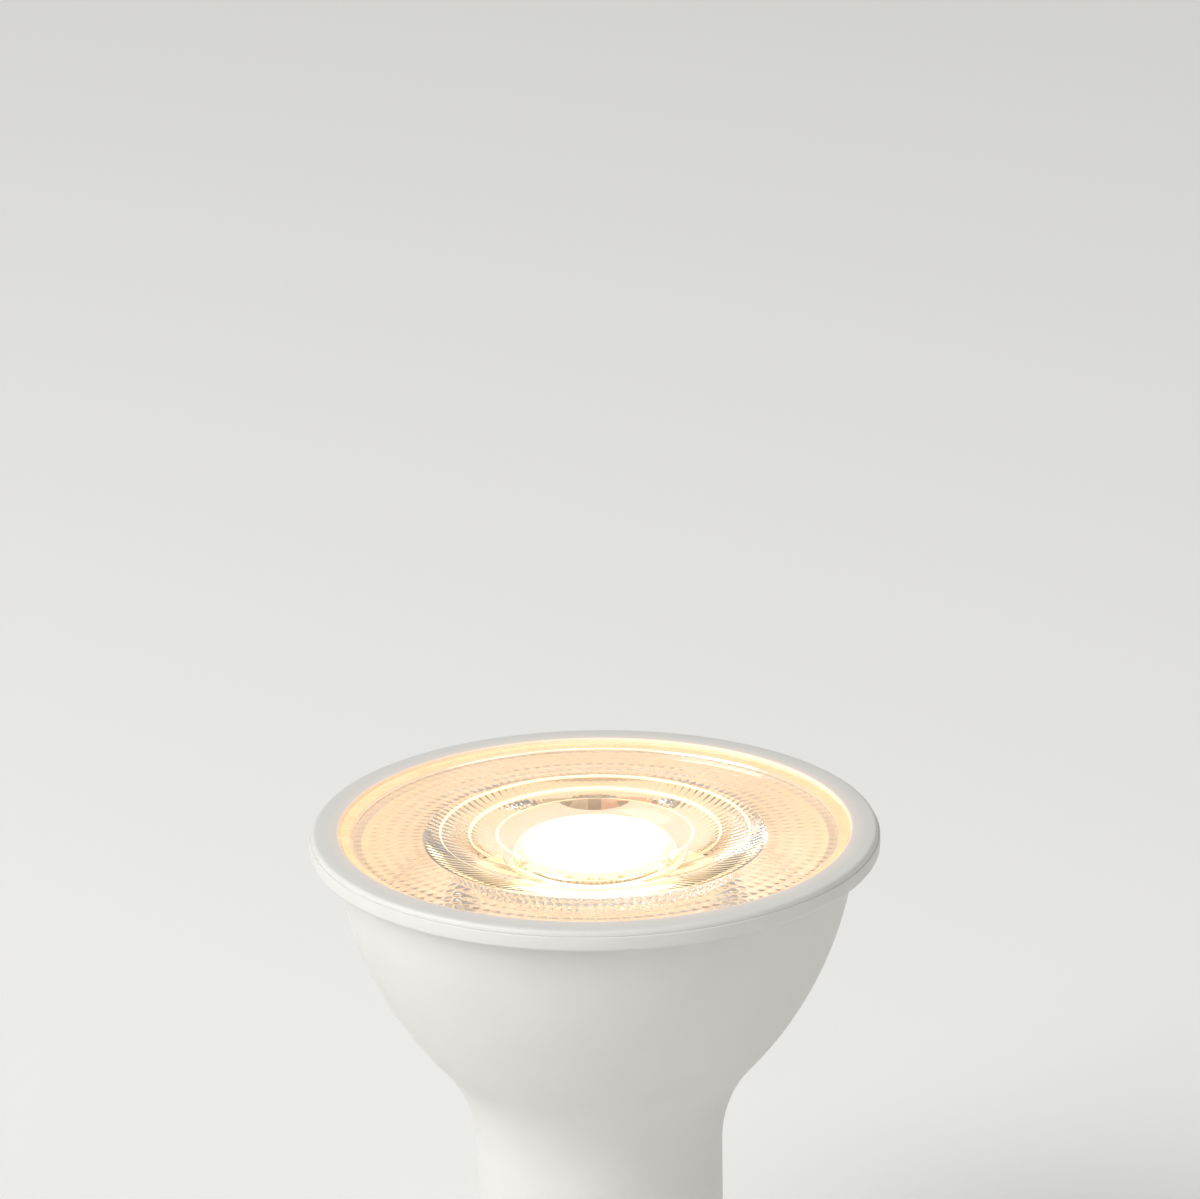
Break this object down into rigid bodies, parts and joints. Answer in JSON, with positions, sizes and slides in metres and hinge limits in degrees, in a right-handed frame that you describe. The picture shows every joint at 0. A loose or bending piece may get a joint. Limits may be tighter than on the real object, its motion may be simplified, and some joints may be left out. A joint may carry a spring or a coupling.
{
  "type": "gu10 spotlight bulb",
  "caption": "Twist-lock LED spotlight bulb: a flared white body with a flanged rim, a faceted clear lens over an LED board, a driver in the neck and headed contact pins.",
  "frame": {"origin": "centre of the base's end face, between the contact pins", "axes": "+Z along the lamp's axis towards the lens; the contact pins lie on X and point along -Z"},
  "size_m": [0.05, 0.05, 0.055],
  "materials": {
    "white_plastic": "moulded, fine satin",
    "clear_optic": "moulded clear, polished, faceted back",
    "bare_aluminium": "drawn, satin",
    "silicone_pad": "soft, matte",
    "white_board": "aluminium core under white solder mask",
    "led_phosphor": "cast silicone, lit",
    "zinc_steel": "zinc plated",
    "solder": "bright, reflowed",
    "plated_brass": "turned, nickel plated",
    "green_laminate": "glass-fibre laminate under green mask",
    "black_sleeve": "shrink sleeve",
    "film_case": "cast resin case",
    "ferrite": "sintered, matte",
    "copper_winding": "enamelled wire",
    "bobbin_plastic": "moulded, matte",
    "black_package": "moulded epoxy",
    "resistor_body": "lacquered",
    "chip_ceramic": "glazed top",
    "red_wire": "insulated, satin",
    "black_wire": "insulated, satin",
    "brown_wire": "insulated, satin",
    "blue_wire": "insulated, satin"
  },
  "bodies": {
    "root": {"housing": "white_plastic", "front_ring": "white_plastic", "base_cap": "white_plastic", "lens": "clear_optic", "heat_sink": "bare_aluminium", "thermal_pad": "silicone_pad", "led_board": "white_board", "board_screw_left": "zinc_steel", "board_screw_right": "zinc_steel", "led_package_1": "led_phosphor", "led_package_2": "led_phosphor", "led_package_3": "led_phosphor", "led_package_4": "led_phosphor", "led_package_5": "led_phosphor", "led_package_6": "led_phosphor", "led_package_7": "led_phosphor", "solder_joints": "solder", "led_wire_plus": "red_wire", "led_wire_minus": "black_wire", "contact_pin_left": "plated_brass", "contact_pin_right": "plated_brass", "live_wire": "brown_wire", "neutral_wire": "blue_wire", "driver_board": "green_laminate", "bulk_capacitor": "black_sleeve", "output_capacitor": "black_sleeve", "film_capacitor": "film_case", "choke_core": "ferrite", "choke_winding": "copper_winding", "transformer_core": "ferrite", "transformer_bobbin": "bobbin_plastic", "transformer_winding": "copper_winding", "fusible_resistor": "resistor_body", "bridge_rectifier": "black_package", "driver_chip": "black_package", "output_diode": "black_package", "chip_resistors": "chip_ceramic"}
  },
  "joints": []
}
